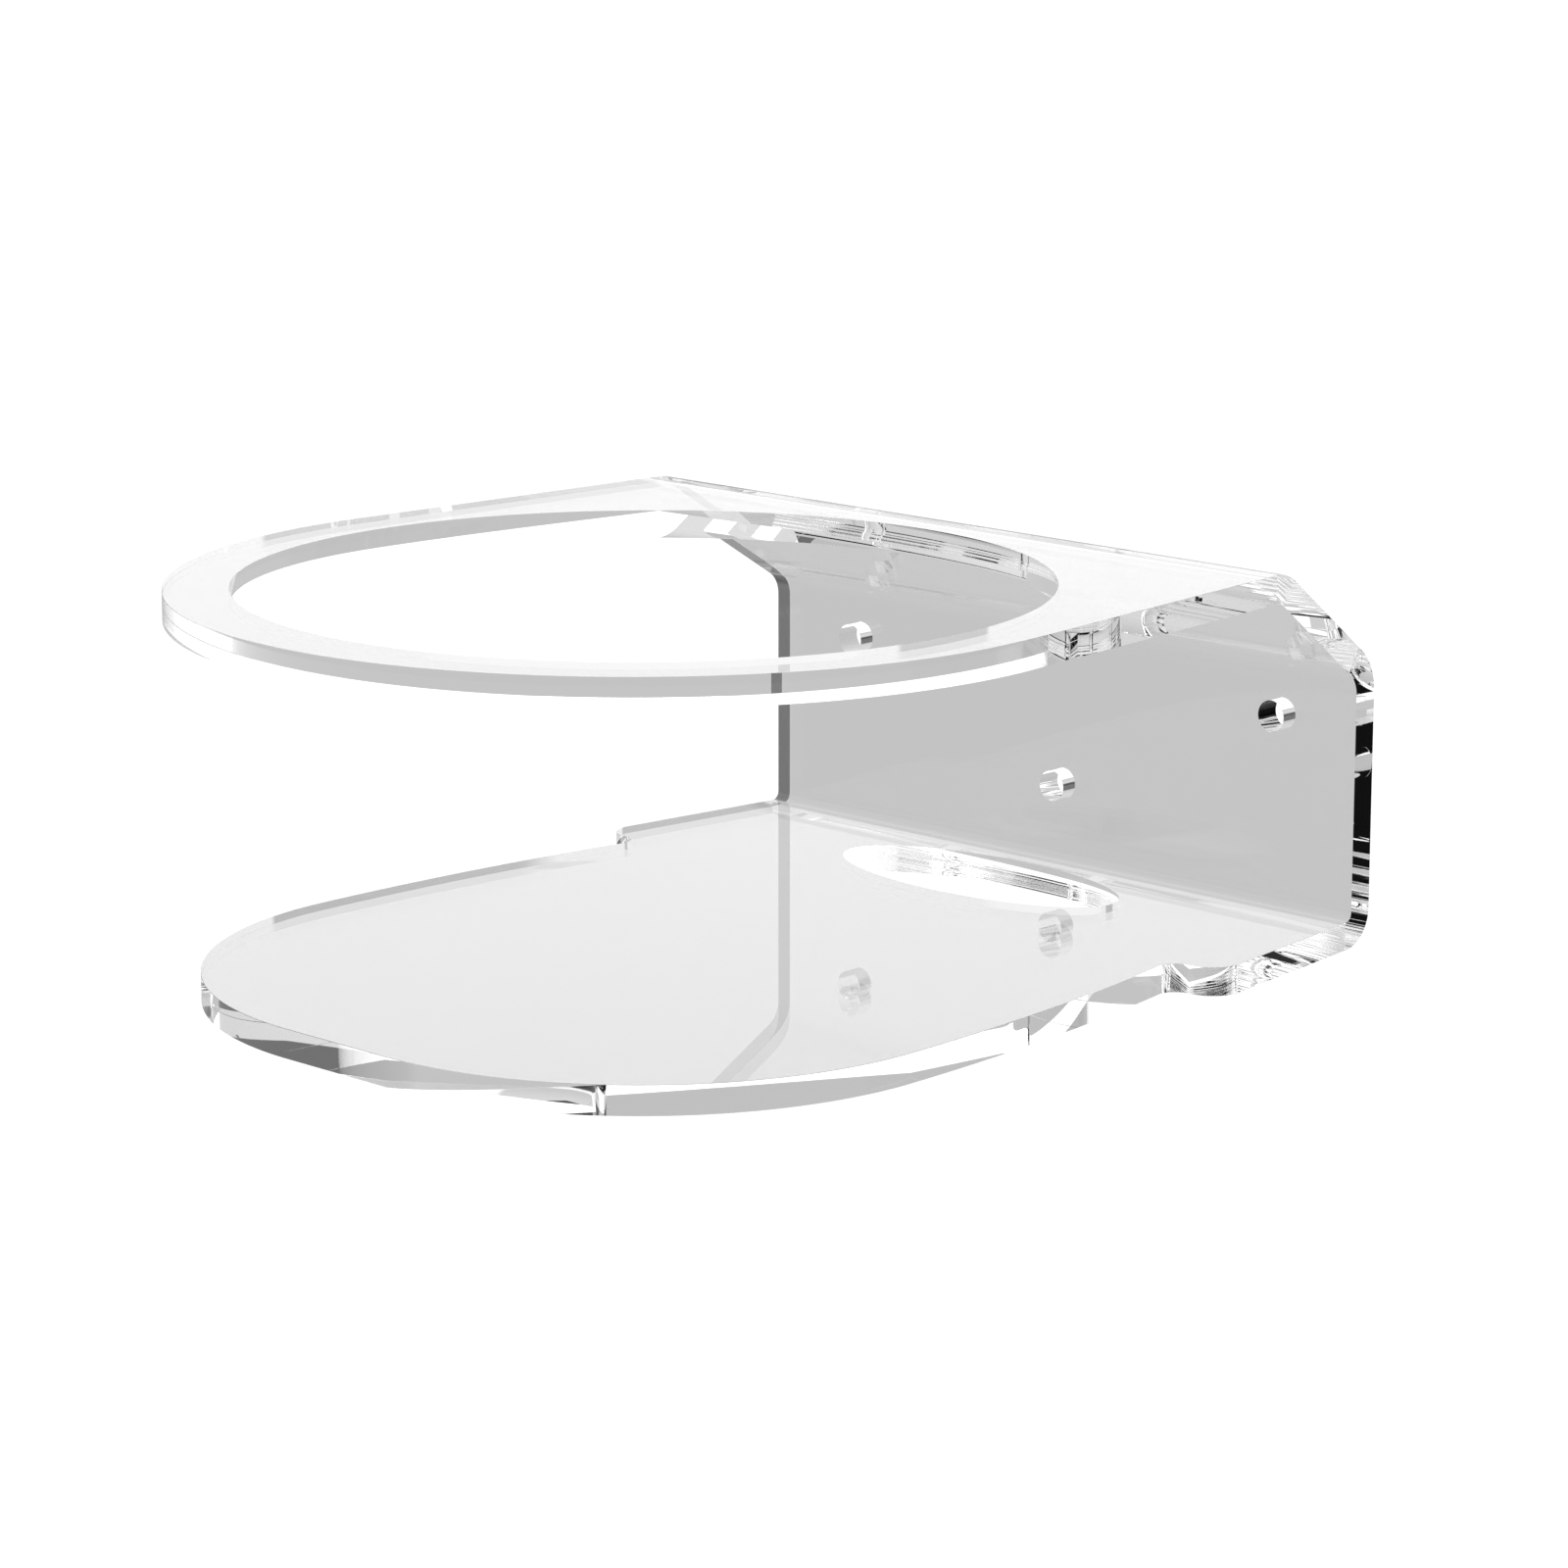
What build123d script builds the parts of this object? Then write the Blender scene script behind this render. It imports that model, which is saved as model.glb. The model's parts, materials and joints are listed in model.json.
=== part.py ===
from build123d import *
import os
from math import asin, atan2, degrees, radians, sqrt, tan

# Wall-mounted hair dryer holder: one sheet of clear acrylic, laser cut and bent along three lines.
# Millimetres. X runs along the wall, -Y points away from the wall into the room, +Z is up.
# Heights in this list are measured from the underside of the lower plate.

# The sheet and its side profile.
sheet = 4.0
overall_depth = 150.0
overall_height = 56.0
wall_width = 109.6
slope_depth = 23.7          # from the wall to the line where the slope meets the top plate
slope_foot = 40.1           # height at which the slope would meet the plane of the wall
lower_bend_radius = 1.2     # inside radius
slope_bend_radius = 4.0     # inside radius, at both ends of the slope

# The top plate: it widens along the slope and ends in the ring that carries the dryer.
slope_half_width = 58.0
ring_outer_radius = 63.3
ring_hole_radius = 54.5

# The lower plate: a wide rear part, a rounded step inwards, bowed sides and a rounded front.
rear_half_width = 58.3
rear_length = 33.2
step_outer_radius = 4.6
step_inner_radius = 2.7
front_half_width = 56.0
front_corner_radius = 46.7
front_depth = 142.3

# The oval opening in the lower plate, close to the wall.
opening_half_length = 24.6
opening_half_width = 10.7
opening_depth = 19.7        # from the wall to the middle of the oval

# Three screw holes through the wall plate: a pair above and one below, on the centre line.
screw_hole_radius = 2.25
upper_hole_spacing = 80.0
upper_hole_height = 30.8
lower_hole_height = 14.6

# The part's origin lies on the flat rear face, on the centre line, at this height.
origin_height = 21.0

# How far a cutting body runs past what it cuts.
margin = 10.0


def side_profile():
    """The bent sheet seen from the side, as a face in the YZ plane."""
    reach = -(overall_depth + margin)
    slope = atan2(overall_height - slope_foot, slope_depth)
    outer_corners = [
        (reach, 0),
        (0, 0),
        (0, slope_foot),
        (-slope_depth, overall_height),
        (reach, overall_height),
    ]
    # Each inner corner lies on the bisector of its bend, one sheet thickness inside both faces.
    wall_corner_drop = sheet * tan((radians(90) - slope) / 2)
    top_corner_shift = sheet * tan(slope / 2)
    inner_corners = [
        (reach, sheet),
        (-sheet, sheet),
        (-sheet, slope_foot - wall_corner_drop),
        (-slope_depth - top_corner_shift, overall_height - sheet),
        (reach, overall_height - sheet),
    ]
    inner_radii = [lower_bend_radius, slope_bend_radius, slope_bend_radius]
    outer_radii = [radius + sheet for radius in inner_radii]
    outline = [
        FilletPolyline(*outer_corners, radius=outer_radii),
        FilletPolyline(*inner_corners, radius=inner_radii),
        Line(outer_corners[0], inner_corners[0]),
        Line(outer_corners[-1], inner_corners[-1]),
    ]
    # Plane.YZ has its own x along +Y and its own y along +Z.
    return Plane.YZ * make_face(Curve() + outline)


def full_outline(half):
    """A plan face from the edges of its half at X > 0, which start and end on the centre line."""
    closing = Line(half[-1] @ 1, half[0] @ 0)
    face = make_face(Curve() + half + [closing])
    return face + mirror(face, about=Plane.YZ)


def wall_edges():
    """The wall's rear face and one of its side faces, in plan."""
    half_width = wall_width / 2
    return [
        Line((0, 0), (half_width, 0)),
        Line((half_width, 0), (half_width, -sheet)),
    ]


def top_outline():
    """Plan of the slope and the top plate, whose sides run on to touch the ring."""
    corner = Vector(slope_half_width, -slope_depth)
    to_centre = Vector(0, ring_outer_radius - overall_depth) - corner
    tangent_length = sqrt(to_centre.length**2 - ring_outer_radius**2)
    tangent_angle = degrees(asin(ring_outer_radius / to_centre.length))
    along_side = to_centre.normalized().rotate(Axis.Z, tangent_angle)
    touch = corner + along_side * tangent_length
    sides = [
        Line((wall_width / 2, -sheet), corner),
        Line(corner, touch),
        TangentArc(touch, (0, -overall_depth), tangent=along_side),
    ]
    return full_outline(wall_edges() + sides)


def lower_outline():
    """Plan of the lower plate."""
    to_front = Vector(0, -1)
    to_wall = Vector(0, 1)
    to_centre_line = Vector(-1, 0)
    step_start = Vector(rear_half_width, -rear_length)
    step_middle = step_start + Vector(-step_outer_radius, -step_outer_radius)
    step_end = step_middle + Vector(-step_inner_radius, -step_inner_radius)
    corner_start = Vector(front_half_width, front_corner_radius - front_depth)
    corner_end = Vector(front_half_width - front_corner_radius, -front_depth)
    sides = [
        Line((wall_width / 2, -sheet), step_start),
        TangentArc(step_start, step_middle, tangent=to_front),
        TangentArc(step_middle, step_end, tangent=to_centre_line),
        TangentArc(corner_start, step_end, tangent=to_wall),
        TangentArc(corner_start, corner_end, tangent=to_front),
        Line(corner_end, (0, -front_depth)),
    ]
    return full_outline(wall_edges() + sides)


def outline_block():
    """What the plans leave of the space: the top plan above the wall's middle, the lower one below."""
    at_middle = Pos(0, 0, origin_height)
    above = extrude(top_outline(), amount=overall_height)
    below = extrude(lower_outline(), amount=-overall_height)
    return at_middle * above + at_middle * below


def ring_hole():
    cutter = Cylinder(ring_hole_radius, 2 * margin)
    return Pos(0, ring_outer_radius - overall_depth, overall_height) * cutter


def oval_opening():
    oval = Ellipse(opening_half_length, opening_half_width)
    return Pos(0, -opening_depth, 0) * extrude(oval, amount=margin, both=True)


def screw_hole(x, height):
    """A cutter along Y, through the wall plate."""
    cutter = Rot(90, 0, 0) * Cylinder(screw_hole_radius, 2 * margin)
    return Pos(x, 0, height) * cutter


def acrylic_bracket():
    """The whole sheet, bent and cut, with the origin on its rear face."""
    half_reach = ring_outer_radius + margin
    body = extrude(side_profile(), amount=half_reach, both=True) & outline_block()
    body -= ring_hole()
    body -= oval_opening()
    for side in (-1, 1):
        body -= screw_hole(side * upper_hole_spacing / 2, upper_hole_height)
    body -= screw_hole(0, lower_hole_height)
    return Pos(0, 0, -origin_height) * body


os.makedirs("parts", exist_ok=True)
export_step(acrylic_bracket(), "parts/acrylic_bracket.step")
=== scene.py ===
import json
import math
from collections import namedtuple

import bmesh
import bpy
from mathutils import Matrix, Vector


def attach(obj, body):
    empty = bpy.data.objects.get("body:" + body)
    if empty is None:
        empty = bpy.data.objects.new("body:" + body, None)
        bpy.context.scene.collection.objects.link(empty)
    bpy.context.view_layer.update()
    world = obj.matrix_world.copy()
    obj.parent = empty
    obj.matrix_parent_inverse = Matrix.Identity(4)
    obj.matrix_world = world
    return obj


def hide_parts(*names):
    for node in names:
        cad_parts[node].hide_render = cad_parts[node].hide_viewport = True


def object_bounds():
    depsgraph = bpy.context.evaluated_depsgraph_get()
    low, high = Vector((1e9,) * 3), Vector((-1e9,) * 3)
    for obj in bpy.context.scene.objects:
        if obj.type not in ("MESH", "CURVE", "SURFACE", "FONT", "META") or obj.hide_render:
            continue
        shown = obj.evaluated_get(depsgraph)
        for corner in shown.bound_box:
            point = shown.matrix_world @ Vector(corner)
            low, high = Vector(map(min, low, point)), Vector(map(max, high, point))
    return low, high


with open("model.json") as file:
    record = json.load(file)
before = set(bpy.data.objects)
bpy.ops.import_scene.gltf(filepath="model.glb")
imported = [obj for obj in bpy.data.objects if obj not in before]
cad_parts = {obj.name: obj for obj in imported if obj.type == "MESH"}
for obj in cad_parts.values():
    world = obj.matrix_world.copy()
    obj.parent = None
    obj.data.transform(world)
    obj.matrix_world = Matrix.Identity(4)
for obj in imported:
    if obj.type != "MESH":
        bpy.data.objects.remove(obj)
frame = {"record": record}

# A wall-mounted hair dryer holder: one clear acrylic sheet, laser cut in the flat and bent along three lines.
# Metres, in the CAD frame: X along the wall, -Y out into the room, +Z up.

CAD_LOW, CAD_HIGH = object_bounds()
MOUNTS = {mount["name"]: mount for mount in frame["record"]["mounts"]}
MM = 0.001
QUARTER = math.pi / 2

# ---------------------------------------------------------------- sizes

SHEET = MOUNTS["lower_screw_hole"]["dims"]["length_mm"] * MM
SCREW_RADIUS = MOUNTS["lower_screw_hole"]["dims"]["r_mm"] * MM
SCREW_SPACING = MOUNTS["upper_screw_holes"]["dims"]["spacing_x_mm"] * MM
UPPER_SCREW_Z = MOUNTS["upper_screw_holes"]["pos_m"][2]
LOWER_SCREW_Z = MOUNTS["lower_screw_hole"]["pos_m"][2]
RING_HOLE_RADIUS = MOUNTS["dryer_ring"]["dims"]["r_mm"] * MM
RING_Y = MOUNTS["dryer_ring"]["pos_m"][1]
RING_RADIUS = RING_Y - CAD_LOW.y

# The side profile: where the slope between the wall and the top plate starts and ends, and the bends.
SLOPE_DEPTH = 23.7 * MM
SLOPE_FOOT = 40.1 * MM
LOWER_BEND = 1.2 * MM
SLOPE_BEND = 4.0 * MM

# Half widths and lengths of the outline.
WALL_HALF_WIDTH = 54.8 * MM
SLOPE_HALF_WIDTH = 58.0 * MM
REAR_HALF_WIDTH = 58.3 * MM
REAR_LENGTH = 33.2 * MM
STEP_OUTER = 4.6 * MM
STEP_INNER = 2.7 * MM
FRONT_HALF_WIDTH = 56.0 * MM
FRONT_CORNER = 46.7 * MM
FRONT_DEPTH = 142.3 * MM

# The oval opening of the lower plate.
OVAL_HALF_LENGTH = 24.6 * MM
OVAL_HALF_WIDTH = 10.7 * MM
OVAL_DEPTH = 19.7 * MM

# How finely the sheet is made. Cut edges are very slightly rounded, and sharp corners of the outline eased.
EDGE_ROUND = 0.04 * MM
EDGE_STEPS = 2
CORNER_EASE = 0.15 * MM
SAME_HEADING = math.cos(math.radians(0.5))
CURVE_STEP = 0.5 * MM
SMALL_CURVE_STEP = 0.3 * MM
FEWEST_STEPS = 3
BEND_STEPS = 16
CUT_TOLERANCE = 1e-8


# ---------------------------------------------------------------- the bent path

# A straight run has its start as its base, and no radius. A bend has its centre as its base.
Part = namedtuple("Part", ["begin", "base", "heading", "radius"])


class BentPath:
    """The sheet's side profile as straight runs and bends along its middle surface.

    Distances along the path are those of the flat sheet. Headings are angles in the YZ plane."""

    def __init__(self, start, heading):
        self.parts = []
        self.length = 0.0
        self.at = start
        self.heading = heading

    def forward(self, heading):
        return Vector((math.cos(heading), math.sin(heading)))

    def inwards(self, heading):
        return Vector((-math.sin(heading), math.cos(heading)))

    def run(self, length):
        self.parts.append(Part(self.length, self.at, self.heading, None))
        self.length += length
        self.at = self.at + length * self.forward(self.heading)

    def bend(self, inner_radius, turn):
        """A bend to the left, towards the inner face."""
        radius = inner_radius + SHEET / 2
        centre = self.at + radius * self.inwards(self.heading)
        self.parts.append(Part(self.length, centre, self.heading, radius))
        self.length += radius * turn
        self.heading += turn
        self.at = centre - radius * self.inwards(self.heading)

    def part_at(self, along):
        later = [part for part in self.parts[1:] if part.begin <= along]
        return later[-1] if later else self.parts[0]

    def place(self, point, normal):
        """A point (X, along, depth from the outer face) and a normal of the flat sheet, once it is bent."""
        part = self.part_at(point.y)
        heading = part.heading
        depth = point.z - SHEET / 2
        if part.radius is None:
            middle = part.base + (point.y - part.begin) * self.forward(heading)
        else:
            heading += (point.y - part.begin) / part.radius
            middle = part.base - part.radius * self.inwards(heading)
        forward, inwards = self.forward(heading), self.inwards(heading)
        y, z = middle + depth * inwards
        normal_y, normal_z = normal.y * forward + normal.z * inwards
        return Vector((point.x, y, z)), Vector((normal.x, normal_y, normal_z))

    def bend_cuts(self):
        """Where the flat sheet is divided so that it can bend smoothly."""
        cuts = []
        for part, after in zip(self.parts, self.parts[1:]):
            if part.radius is not None:
                length = after.begin - part.begin
                cuts += [part.begin + length * i / BEND_STEPS for i in range(BEND_STEPS + 1)]
        return cuts


def side_path():
    """From the lower plate's front to the wall, up it, over the slope and out to the ring's front."""
    rise = CAD_HIGH.z - CAD_LOW.z - SLOPE_FOOT
    slope = math.atan2(rise, SLOPE_DEPTH)
    lower_outer = LOWER_BEND + SHEET
    slope_outer = SLOPE_BEND + SHEET
    wall_turn = QUARTER - slope
    wall_setback = slope_outer * math.tan(wall_turn / 2)
    top_setback = slope_outer * math.tan(slope / 2)
    path = BentPath(Vector((-FRONT_DEPTH, CAD_LOW.z + SHEET / 2)), 0.0)
    path.run(FRONT_DEPTH - lower_outer)
    path.bend(LOWER_BEND, QUARTER)
    path.run(SLOPE_FOOT - lower_outer - wall_setback)
    path.bend(SLOPE_BEND, wall_turn)
    path.run(math.hypot(SLOPE_DEPTH, rise) - wall_setback - top_setback)
    path.bend(SLOPE_BEND, slope)
    path.run(-CAD_LOW.y - SLOPE_DEPTH - top_setback)
    return path


PATH = side_path()
LOWER_END, WALL_START, _, SLOPE_START, _, TOP_START = [part.begin for part in PATH.parts[1:]]


# Distances along the path of places on the three flat stretches.

def on_lower_plate(y):
    return y + FRONT_DEPTH


def on_wall(z):
    return WALL_START + z - CAD_LOW.z - LOWER_BEND - SHEET


def on_top_plate(y):
    return PATH.length - (y - CAD_LOW.y)


# ---------------------------------------------------------------- the flat pattern
# A cut is a row of (point, normal) pairs. The sheet lies to the left of the cut, and the normal points right.

def straight(start, end):
    ahead = (Vector(end) - Vector(start)).normalized()
    normal = Vector((ahead.y, -ahead.x))
    return [(Vector(start), normal), (Vector(end), normal)]


def arc(centre, radius, start, end, step=CURVE_STEP):
    count = max(FEWEST_STEPS, math.ceil(abs(end - start) * radius / step))
    turn = math.copysign(1, end - start)
    cut = []
    for i in range(count + 1):
        angle = start + (end - start) * i / count
        radial = Vector((math.cos(angle), math.sin(angle)))
        cut.append((Vector(centre) + radius * radial, turn * radial))
    return cut


def join(cuts):
    """Cuts that follow each other as one. Where two meet at an angle, the corner is eased."""
    row = list(cuts[0])
    for cut in cuts[1:]:
        (corner, before), (start, after) = row[-1], cut[0]
        if before.dot(after) > SAME_HEADING:
            row += cut[1:]
            continue
        row[-1] = (corner - CORNER_EASE * Vector((-before.y, before.x)), before)
        row.append((start + CORNER_EASE * Vector((-after.y, after.x)), after))
        row += cut[1:]
    return row


def half_outline():
    """The edge of the flat sheet for X > 0, from the lower plate's front to the ring's front."""
    corner_x = FRONT_HALF_WIDTH - FRONT_CORNER
    narrow = REAR_HALF_WIDTH - STEP_OUTER - STEP_INNER
    step_front = on_lower_plate(-REAR_LENGTH) - STEP_OUTER - STEP_INNER
    step_centre = narrow + STEP_INNER
    # The bowed side is a wide arc that starts straight from the front corner and reaches the step.
    bow_length = step_front - FRONT_CORNER
    bow_depth = FRONT_HALF_WIDTH - narrow
    bow_radius = (bow_length**2 + bow_depth**2) / (2 * bow_depth)
    rear_corner = (REAR_HALF_WIDTH, on_lower_plate(-REAR_LENGTH))
    # The top plate's side runs on to touch the ring.
    ring_along = on_top_plate(RING_Y)
    reach = Vector((SLOPE_HALF_WIDTH, ring_along - TOP_START))
    touch = QUARTER - math.asin(RING_RADIUS / reach.length) - math.atan2(reach.y, reach.x)
    ring = arc((0, ring_along), RING_RADIUS, touch, QUARTER)
    return join([
        arc((corner_x, FRONT_CORNER), FRONT_CORNER, -QUARTER, 0),
        arc((FRONT_HALF_WIDTH - bow_radius, FRONT_CORNER), bow_radius, 0, math.asin(bow_length / bow_radius)),
        arc((step_centre, step_front), STEP_INNER, math.pi, QUARTER, SMALL_CURVE_STEP),
        arc((step_centre, rear_corner[1]), STEP_OUTER, -QUARTER, 0, SMALL_CURVE_STEP),
        straight(rear_corner, (WALL_HALF_WIDTH, LOWER_END)),
        straight((WALL_HALF_WIDTH, LOWER_END), (WALL_HALF_WIDTH, SLOPE_START)),
        straight((WALL_HALF_WIDTH, SLOPE_START), (SLOPE_HALF_WIDTH, TOP_START)),
        straight((SLOPE_HALF_WIDTH, TOP_START), ring[0][0]),
        ring,
    ])


def full_outline():
    half = half_outline()
    half[-1] = (Vector((0, PATH.length)), Vector((0, 1)))
    other = [(Vector((-p.x, p.y)), Vector((-n.x, n.y))) for p, n in reversed(half[:-1])]
    return half + other


def oval():
    count = math.ceil(2 * math.pi * OVAL_HALF_LENGTH / CURVE_STEP)
    middle = Vector((0, on_lower_plate(-OVAL_DEPTH)))
    cut = []
    for i in range(count):
        angle = -2 * math.pi * i / count
        across, ahead = math.cos(angle), math.sin(angle)
        point = middle + Vector((OVAL_HALF_LENGTH * across, OVAL_HALF_WIDTH * ahead))
        cut.append((point, -Vector((across / OVAL_HALF_LENGTH, ahead / OVAL_HALF_WIDTH)).normalized()))
    return cut


def round_hole(x, along, radius, step):
    return arc((x, along), radius, 2 * math.pi, 0, step)[:-1]


def holes():
    upper = on_wall(UPPER_SCREW_Z)
    screws = [(-SCREW_SPACING / 2, upper), (SCREW_SPACING / 2, upper), (0, on_wall(LOWER_SCREW_Z))]
    small = [round_hole(x, along, SCREW_RADIUS, SMALL_CURVE_STEP) for x, along in screws]
    return [oval(), round_hole(0, on_top_plate(RING_Y), RING_HOLE_RADIUS, CURVE_STEP)] + small


# ---------------------------------------------------------------- the solid sheet

ALONG = Vector((0, 1, 0))

# The place of the cut edges' material among the sheet's materials. The faces have the first.
EDGE_MATERIAL = 1


def edge_section():
    """Depth, inset and lean of each row of points round a cut edge, from the outer face to the inner one."""
    rows = []
    for i in range(EDGE_STEPS + 1):
        lean = QUARTER * (1 - i / EDGE_STEPS)
        rows.append((EDGE_ROUND * (1 - math.sin(lean)), EDGE_ROUND * (1 - math.cos(lean)), -lean))
    return rows + [(SHEET - depth, inset, -lean) for depth, inset, lean in reversed(rows)]


def add_edge(mesh, normals, cut):
    """The cut edge along one closed cut. Gives its first and last rows of points."""
    rows = []
    for depth, inset, lean in edge_section():
        row = []
        for point, normal in cut:
            flat = point - inset * normal
            vert = mesh.verts.new((flat.x, flat.y, depth))
            vert[normals] = (normal.x * math.cos(lean), normal.y * math.cos(lean), math.sin(lean))
            row.append(vert)
        rows.append(row)
    for low, high in zip(rows, rows[1:]):
        for i in range(len(cut)):
            face = mesh.faces.new((low[i - 1], low[i], high[i], high[i - 1]))
            face.material_index = EDGE_MATERIAL
    return rows[0], rows[-1]


def fill(mesh, rings):
    """One flat face of the sheet, between its outline and its holes."""
    edges = [mesh.edges.get((vert, ring[i - 1])) for ring in rings for i, vert in enumerate(ring)]
    bmesh.ops.triangle_fill(mesh, use_beauty=True, edges=edges)


def acrylic_sheet():
    """The holder: the flat pattern as a solid, with its edges, carried round the bends."""
    mesh = bmesh.new()
    normals = mesh.verts.layers.float_vector.new("flat_normal")
    rows = [add_edge(mesh, normals, cut) for cut in [full_outline()] + holes()]
    fill(mesh, [row[0] for row in rows])
    fill(mesh, [row[1] for row in rows])
    for cut in PATH.bend_cuts():
        geometry = mesh.verts[:] + mesh.edges[:] + mesh.faces[:]
        bmesh.ops.bisect_plane(mesh, geom=geometry, dist=CUT_TOLERANCE, plane_co=(0, cut, 0), plane_no=ALONG)
    bent = [PATH.place(vert.co, vert[normals]) for vert in mesh.verts]
    for vert, (point, _) in zip(mesh.verts, bent):
        vert.co = point
    bmesh.ops.recalc_face_normals(mesh, faces=mesh.faces)
    if mesh.calc_volume(signed=True) < 0:
        bmesh.ops.reverse_faces(mesh, faces=mesh.faces)
    for face in mesh.faces:
        face.smooth = True
    mesh.verts.layers.float_vector.remove(normals)
    data = bpy.data.meshes.new("acrylic_sheet")
    mesh.to_mesh(data)
    mesh.free()
    data.normals_split_custom_set_from_vertices([normal for _, normal in bent])
    piece = bpy.data.objects.new("acrylic_sheet", data)
    bpy.context.scene.collection.objects.link(piece)
    return piece


# ---------------------------------------------------------------- materials

# The photograph's sheet bends light less than real acrylic's 1.49: the widths of its edge bands give this.
ACRYLIC_IOR = 1.3

# The sheet lets through between these shares of the light, and is polished except where its grain is highest.
DIMMEST = (0.986, 0.986, 0.986, 1)
CLEAREST = (0.998, 0.998, 0.998, 1)
POLISHED = 0.0
WORN = 0.003
WEAR_FROM = 0.6
WEAR_TO = 0.85
GRAIN_DETAIL = 4.0
WAVE_DETAIL = 1.0

FLOOR_WHITE = (0.92, 0.92, 0.92, 1)
FLOOR_ROUGHNESS = 0.9


class Nodes:
    """Adds nodes to a tree and links them in one call."""

    def __init__(self, tree):
        self.tree = tree

    def fill_in(self, node, inputs):
        for name, value in inputs.items():
            if isinstance(value, bpy.types.NodeSocket):
                self.tree.links.new(value, node.inputs[name])
            else:
                node.inputs[name].default_value = value

    def add(self, kind, inputs, **settings):
        node = self.tree.nodes.new(kind)
        for name, value in settings.items():
            setattr(node, name, value)
        self.fill_in(node, inputs)
        return node.outputs

    def map_range(self, value, from_low, from_high, to_low, to_high):
        limits = {"From Min": from_low, "From Max": from_high, "To Min": to_low, "To Max": to_high}
        return self.add("ShaderNodeMapRange", {"Value": value} | limits)["Result"]

    def multiply(self, first, second):
        return self.add("ShaderNodeMath", {0: first, 1: second}, operation="MULTIPLY")["Value"]

    # The sockets of a mix are found by number, because those for numbers and colours have the same names.

    def mix(self, factor, first, second):
        """A mix of two numbers. A factor above 1 counts as 1."""
        return self.add("ShaderNodeMix", {0: factor, 2: first, 3: second}, data_type="FLOAT")[0]

    def mix_colours(self, factor, first, second):
        return self.add("ShaderNodeMix", {0: factor, 6: first, 7: second}, data_type="RGBA")[2]


def clear_acrylic(name, grain_scale, wave_depth, wave_scale):
    """Clear acrylic with a faint change of finish over it and a very shallow wave in its surface."""
    material = bpy.data.materials.new(name)
    material.use_nodes = True
    nodes = Nodes(material.node_tree)
    place = nodes.add("ShaderNodeTexCoord", {})["Object"]
    noise = {"Vector": place, "Scale": grain_scale, "Detail": GRAIN_DETAIL}
    grain = nodes.add("ShaderNodeTexNoise", noise)["Fac"]
    swelling = {"Vector": place, "Scale": wave_scale, "Detail": WAVE_DETAIL}
    swell = nodes.add("ShaderNodeTexNoise", swelling)["Fac"]
    wave = nodes.add("ShaderNodeBump", {"Strength": 1.0, "Distance": wave_depth, "Height": swell})
    nodes.fill_in(material.node_tree.nodes["Principled BSDF"], {
        "Base Color": nodes.mix_colours(grain, DIMMEST, CLEAREST),
        "Roughness": nodes.map_range(grain, WEAR_FROM, WEAR_TO, POLISHED, WORN),
        "Normal": wave["Normal"],
        "IOR": ACRYLIC_IOR,
        "Transmission Weight": 1.0,
    })
    return material


def acrylic_face():
    """The sheet's flat and bent faces."""
    return clear_acrylic("clear_acrylic_face", grain_scale=60.0, wave_depth=0.002 * MM, wave_scale=25.0)


def acrylic_edge():
    """The cut edges, whose grain and wave are finer."""
    return clear_acrylic("clear_acrylic_edge", grain_scale=400.0, wave_depth=0.0002 * MM, wave_scale=300.0)


def pale_floor():
    material = bpy.data.materials.new("pale_floor")
    material.use_nodes = True
    Nodes(material.node_tree).fill_in(material.node_tree.nodes["Principled BSDF"], {
        "Base Color": FLOOR_WHITE,
        "Roughness": FLOOR_ROUGHNESS,
        "Specular IOR Level": 0.0,
    })
    return material


# ---------------------------------------------------------------- the studio

# What the acrylic mirrors and shows, by height: (Z of the direction, brightness).
STUDIO_LEVELS = [
    (-1.0, 0.85),
    (-0.5, 0.6),
    (-0.3, 0.55),
    (0.11, 0.55),
    (0.14, 1.34),
    (0.18, 1.36),
    (0.27, 1.38),
    (0.4, 1.2),
    (1.0, 1.1),
]
BRIGHTEST = 1.5

# Grey cards at the far right, which the edges mirror: (direction, cosine of the half width, brightness).
CARDS = [
    (Vector((0.67, 0.70, -0.22)), 0.95, 0.29),
    (Vector((0.67, 0.70, 0.22)), 0.95, 0.5),
]
CARD_BLUR = 0.01

# The floor lies as far down as under a holder on a wall.
FLOOR_REACH = 30.0
FLOOR_DROP = 1.0

LIGHT_PLACE = Vector((0.6, -0.8, 1.6))
LIGHT_SIZE = 1.2
LIGHT_POWER = 12

# The camera looks at a place beside the middle of the holder: to its right, further out and lower.
VIEW_AZIMUTH = math.radians(43.695)
VIEW_ELEVATION = math.radians(12.796)
CAMERA_DISTANCE = 0.6953
AIM_RIGHT = 0.0103
AIM_OUT = 0.0017
AIM_DOWN = 0.0011
LENS = 118.755
SENSOR = 36
NEAREST_SEEN = 0.01
FURTHEST_SEEN = 100

# Light that is mirrored more often than this inside the sheet is black, as in parts of the wall's near end.
MOST_BOUNCES = 13


def level_by_height(nodes, height):
    """The studio's brightness, from the Z of the direction."""
    ramp = nodes.tree.nodes.new("ShaderNodeValToRGB")
    nodes.fill_in(ramp, {"Fac": nodes.map_range(height, -1.0, 1.0, 0.0, 1.0)})
    # A ramp has two stops to start with and can't be empty, so the first one goes last.
    stops = ramp.color_ramp.elements
    stops.remove(stops[1])
    for z, level in STUDIO_LEVELS:
        grey = level / BRIGHTEST
        stops.new((z + 1) / 2).color = (grey, grey, grey, 1)
    stops.remove(stops[0])
    return nodes.multiply(ramp.outputs["Color"], BRIGHTEST)


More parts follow.
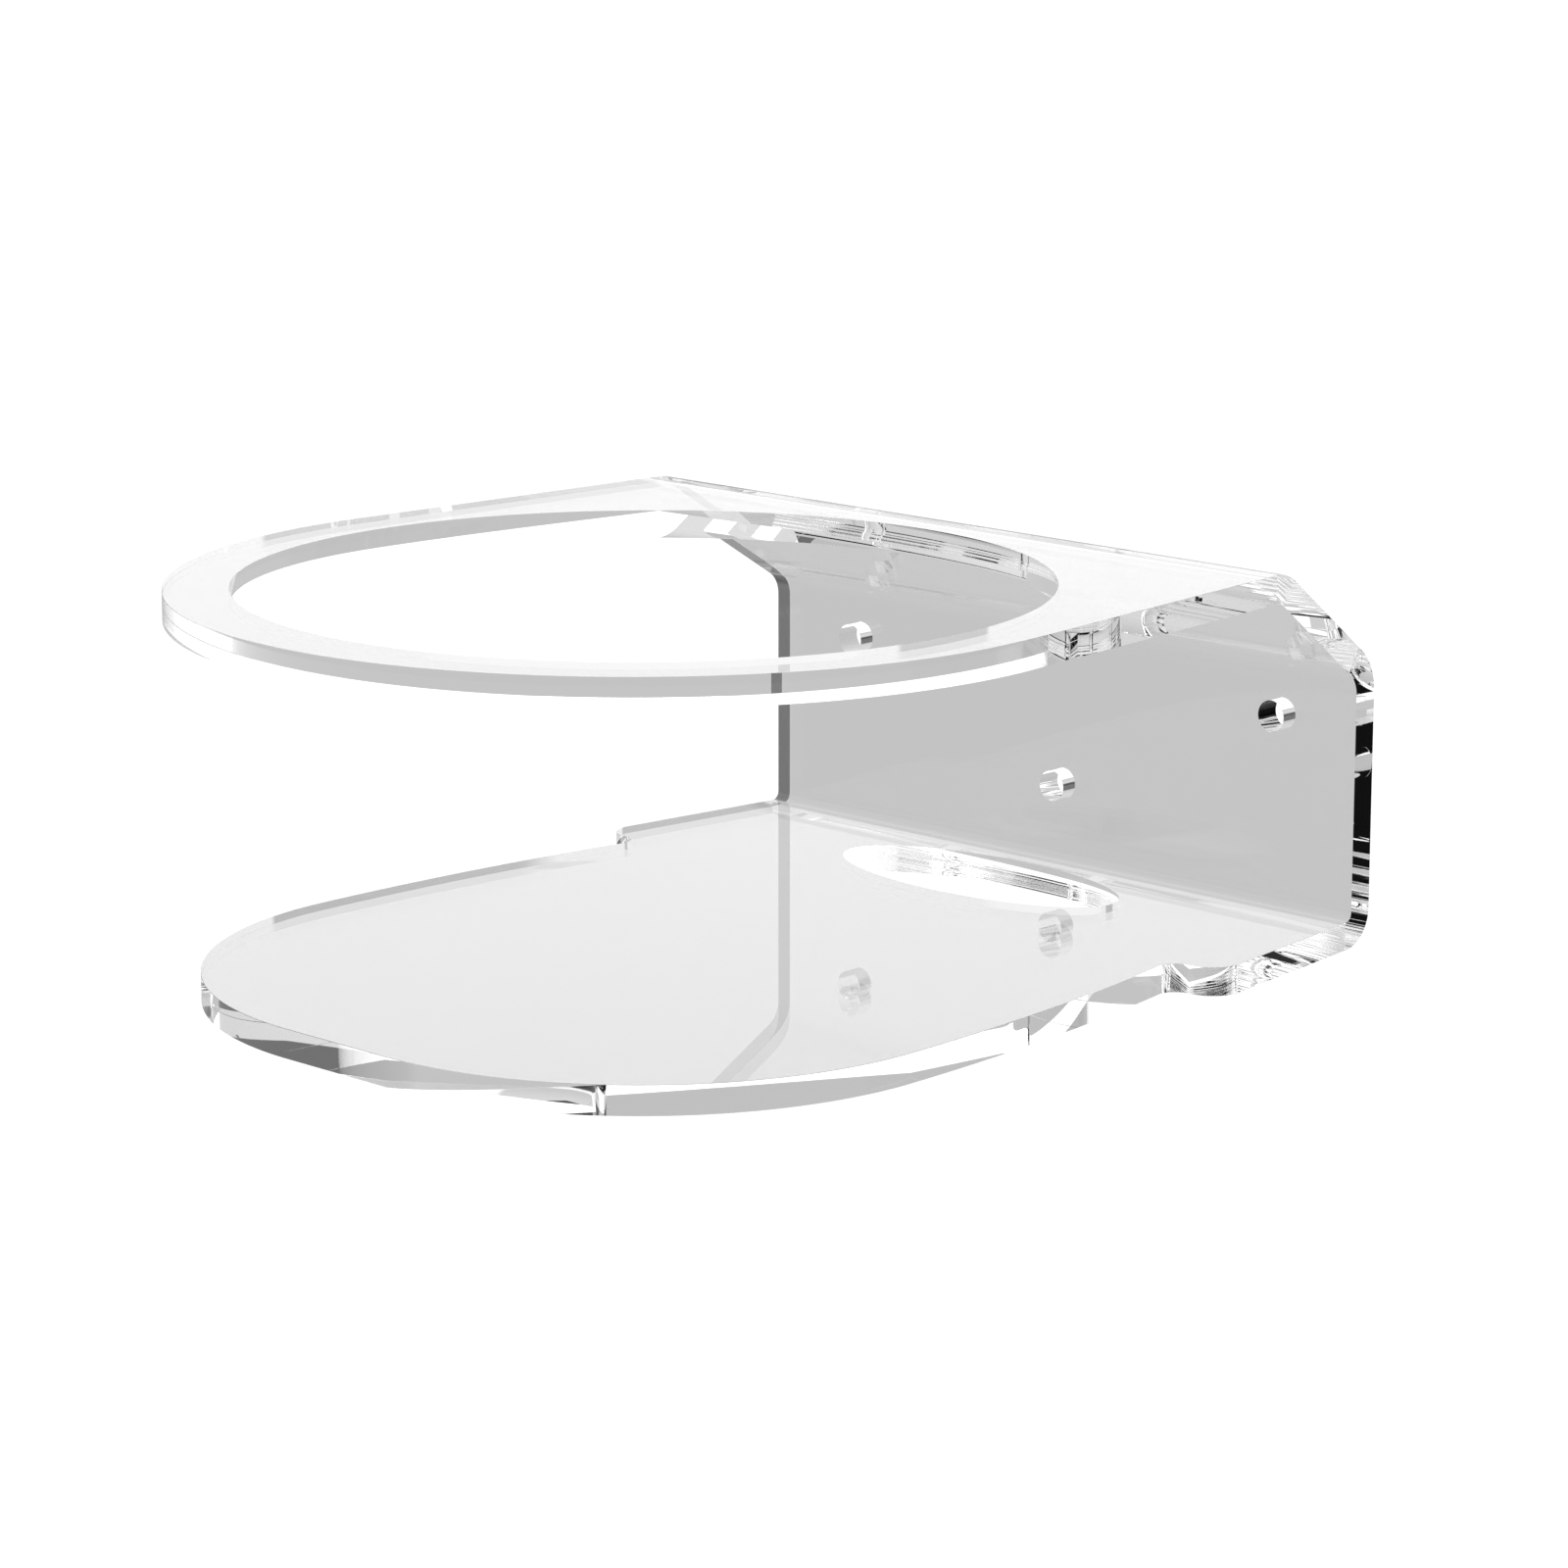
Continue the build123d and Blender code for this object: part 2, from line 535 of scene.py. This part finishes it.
def behind_card(nodes, light, direction, card):
    towards, edge, level = card
    compared = {0: direction, 1: towards.normalized()}
    cosine = nodes.add("ShaderNodeVectorMath", compared, operation="DOT_PRODUCT")["Value"]
    return nodes.multiply(light, nodes.map_range(cosine, edge, edge + CARD_BLUR, 1.0, level))


def studio():
    world = bpy.data.worlds.new("studio")
    bpy.context.scene.world = world
    world.use_nodes = True
    world.node_tree.nodes.clear()
    nodes = Nodes(world.node_tree)
    direction = nodes.add("ShaderNodeTexCoord", {})["Generated"]
    ray = nodes.add("ShaderNodeLightPath", {})
    light = level_by_height(nodes, nodes.add("ShaderNodeSeparateXYZ", {0: direction})["Z"])
    mirrored = light
    for card in CARDS:
        mirrored = behind_card(nodes, mirrored, direction, card)
    # The cards show only in light that has been mirrored at least once. The camera itself sees plain white.
    light = nodes.mix(ray["Glossy Depth"], light, mirrored)
    light = nodes.mix(ray["Is Camera Ray"], light, 1.0)
    background = nodes.add("ShaderNodeBackground", {"Color": (1, 1, 1, 1), "Strength": light})
    nodes.add("ShaderNodeOutputWorld", {"Surface": background["Background"]})


def floor():
    data = bpy.data.meshes.new("floor")
    corners = [(-1, -1), (1, -1), (1, 1), (-1, 1)]
    places = [(FLOOR_REACH * x, FLOOR_REACH * y, CAD_LOW.z - FLOOR_DROP) for x, y in corners]
    data.from_pydata(places, [], [(0, 1, 2, 3)])
    data.materials.append(pale_floor())
    ground = bpy.data.objects.new("floor", data)
    bpy.context.scene.collection.objects.link(ground)
    ground.visible_transmission = False
    ground.visible_glossy = False


def soft_light():
    """A large soft light above, which faces the holder."""
    data = bpy.data.lights.new("soft_light_above", "AREA")
    data.shape = "DISK"
    data.size = LIGHT_SIZE
    data.energy = LIGHT_POWER
    lamp = bpy.data.objects.new("soft_light_above", data)
    bpy.context.scene.collection.objects.link(lamp)
    lamp.location = LIGHT_PLACE
    lamp.rotation_euler = LIGHT_PLACE.to_track_quat("Z", "Y").to_euler()
    lamp.visible_camera = False


def camera():
    data = bpy.data.cameras.new("camera")
    data.lens = LENS
    data.sensor_width = SENSOR
    data.clip_start = NEAREST_SEEN
    data.clip_end = FURTHEST_SEEN
    eye = bpy.data.objects.new("camera", data)
    bpy.context.scene.collection.objects.link(eye)
    up = Vector((0, 0, 1))
    out = Vector((math.sin(VIEW_AZIMUTH), -math.cos(VIEW_AZIMUTH), 0))
    right = up.cross(out)
    back = math.cos(VIEW_ELEVATION) * out + math.sin(VIEW_ELEVATION) * up
    aim = (CAD_LOW + CAD_HIGH) / 2 + AIM_RIGHT * right + AIM_OUT * out - AIM_DOWN * up
    eye.location = aim + CAMERA_DISTANCE * back
    eye.rotation_euler = (-back).to_track_quat("-Z", "Y").to_euler()
    bpy.context.scene.camera = eye


# ---------------------------------------------------------------- the scene

bracket = acrylic_sheet()
bracket.data.materials.append(acrylic_face())
bracket.data.materials.append(acrylic_edge())
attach(bracket, "root")
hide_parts("acrylic_bracket")

camera()
studio()
floor()
soft_light()

scene = bpy.context.scene
scene.view_settings.view_transform = "Standard"
scene.cycles.max_bounces = MOST_BOUNCES
scene.cycles.transmission_bounces = MOST_BOUNCES
scene.cycles.glossy_bounces = MOST_BOUNCES
